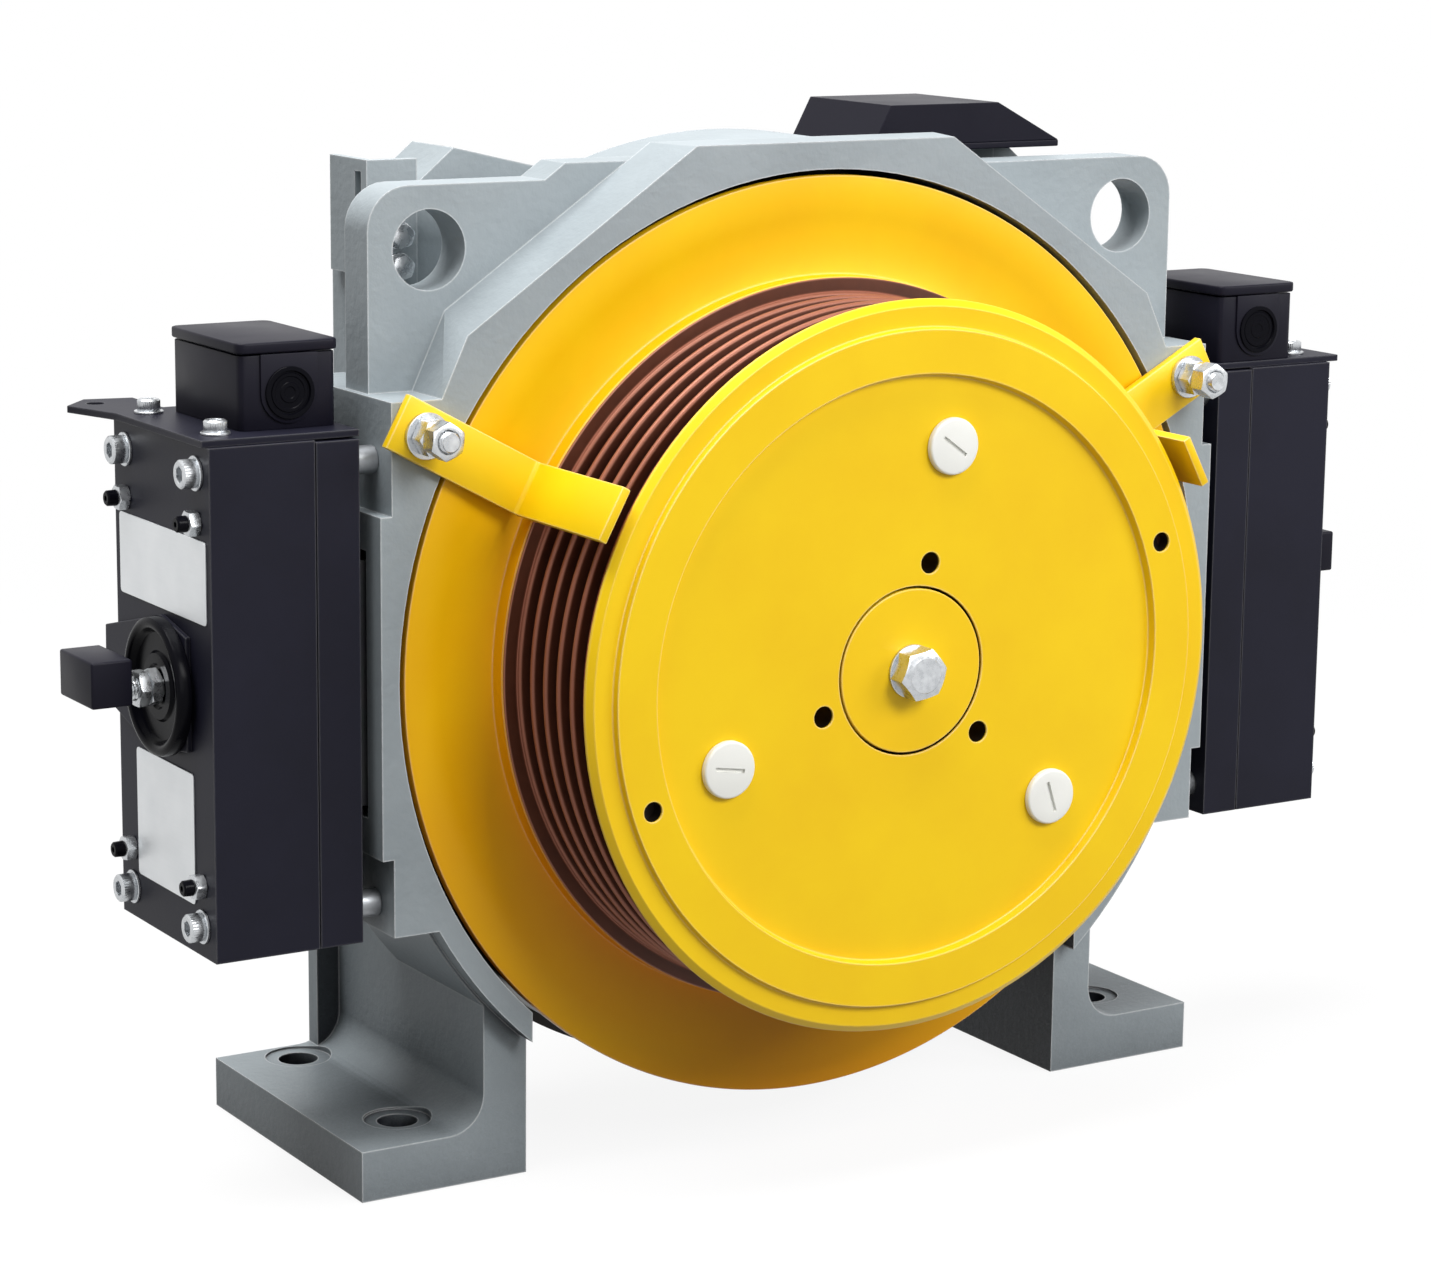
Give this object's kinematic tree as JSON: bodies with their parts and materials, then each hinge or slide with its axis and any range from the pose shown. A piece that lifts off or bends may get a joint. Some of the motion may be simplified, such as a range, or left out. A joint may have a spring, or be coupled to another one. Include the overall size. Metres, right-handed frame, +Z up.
{
  "type": "elevator traction machine",
  "caption": "Gearless traction machine: grooved rope sheave with a wide brake drum in a cast housing with feet and lifting eyes, and a block brake on each side.",
  "frame": {"origin": "in the plane of the foot soles, midway between the four foot bolt holes", "axes": "+X to the right seen from the sheave side, +Y from the sheave back to the encoder along the shaft, +Z up"},
  "size_m": [0.873, 0.3662, 0.607],
  "materials": {
    "grey_paint": "satin",
    "yellow_paint": "satin",
    "bare_iron": "machined, oxidised",
    "white_plastic": "matte",
    "ground_steel": "ground",
    "bearing_steel": "ground",
    "magnet": "coated",
    "core_steel": "laminated",
    "copper": "varnished",
    "grey_steel": "satin",
    "dark_steel": "blackened",
    "zinc_steel": "zinc plated",
    "black_paint": "satin",
    "shoe_steel": "machined",
    "lining": "matte",
    "black_plastic": "fine grain",
    "rubber": "semi-gloss",
    "blank_plate": "matte"
  },
  "bodies": {
    "housing": {"frame": "grey_paint", "front_bearing_outer": "bearing_steel", "rear_bearing_outer": "bearing_steel", "stator_core": "core_steel", "winding": "copper", "front_cover": "grey_steel", "rear_cover": "grey_steel", "cover_screws": "dark_steel", "encoder_body": "black_plastic", "rope_guard_left": "yellow_paint", "rope_guard_right": "yellow_paint", "guard_studs": "zinc_steel", "guard_nuts": "zinc_steel", "brake_magnet_left": "black_paint", "brake_magnet_right": "black_paint", "brake_coils": "copper", "release_plate_left": "black_paint", "release_plate_right": "black_paint", "release_cups": "rubber", "brake_bolts": "zinc_steel", "brake_sleeves": "zinc_steel", "brake_springs": "dark_steel", "adjusters": "zinc_steel", "adjuster_caps": "black_plastic", "brake_top_plates": "black_paint", "top_plate_screws": "zinc_steel", "label_plates": "blank_plate", "junction_boxes": "black_plastic", "junction_lids": "black_plastic", "entry_plugs": "black_plastic", "terminal_box": "black_plastic", "terminal_lid": "black_plastic", "side_bracket": "grey_steel", "bracket_bolts": "zinc_steel"},
    "rotor": {"rotor": "yellow_paint", "rope_rim": "bare_iron", "front_plate": "yellow_paint", "rim_screws": "dark_steel", "plugs": "white_plastic", "shaft": "ground_steel", "shaft_disc": "yellow_paint", "shaft_bolt": "zinc_steel", "front_bearing_inner": "bearing_steel", "rear_bearing_inner": "bearing_steel", "magnets": "magnet", "encoder_rotor": "ground_steel"},
    "front_rollers": {"front_bearing_rollers": "bearing_steel"},
    "rear_rollers": {"rear_bearing_rollers": "bearing_steel"},
    "left_armature": {"brake_armature_left": "black_paint", "brake_shoe_left": "shoe_steel", "brake_lining_left": "lining", "release_rod_left": "ground_steel", "release_block_left": "black_plastic", "release_nuts_left": "zinc_steel"},
    "right_armature": {"brake_armature_right": "black_paint", "brake_shoe_right": "shoe_steel", "brake_lining_right": "lining", "release_rod_right": "ground_steel", "release_block_right": "black_plastic", "release_nuts_right": "zinc_steel"}
  },
  "joints": [
    {"name": "rotor_spin", "type": "hinge", "parent": "housing", "child": "rotor", "pos_m": [0, -0.121, 0.3], "axis": [0, 1, 0], "continuous": true},
    {"name": "front_rollers_spin", "type": "hinge", "parent": "housing", "child": "front_rollers", "pos_m": [0, -0.071, 0.3], "axis": [0, 1, 0], "continuous": true},
    {"name": "rear_rollers_spin", "type": "hinge", "parent": "housing", "child": "rear_rollers", "pos_m": [0, 0.059, 0.3], "axis": [0, 1, 0], "continuous": true},
    {"name": "left_brake_lift", "type": "slide", "parent": "housing", "child": "left_armature", "axis": [-1, 0, 0], "range_m": [0, 0.0005]},
    {"name": "right_brake_lift", "type": "slide", "parent": "housing", "child": "right_armature", "axis": [1, 0, 0], "range_m": [0, 0.0005]}
  ],
  "couplings": [
    {"joint": "front_rollers_spin", "follows": "rotor_spin", "ratio": 0.4454},
    {"joint": "rear_rollers_spin", "follows": "rotor_spin", "ratio": 0.4417}
  ]
}
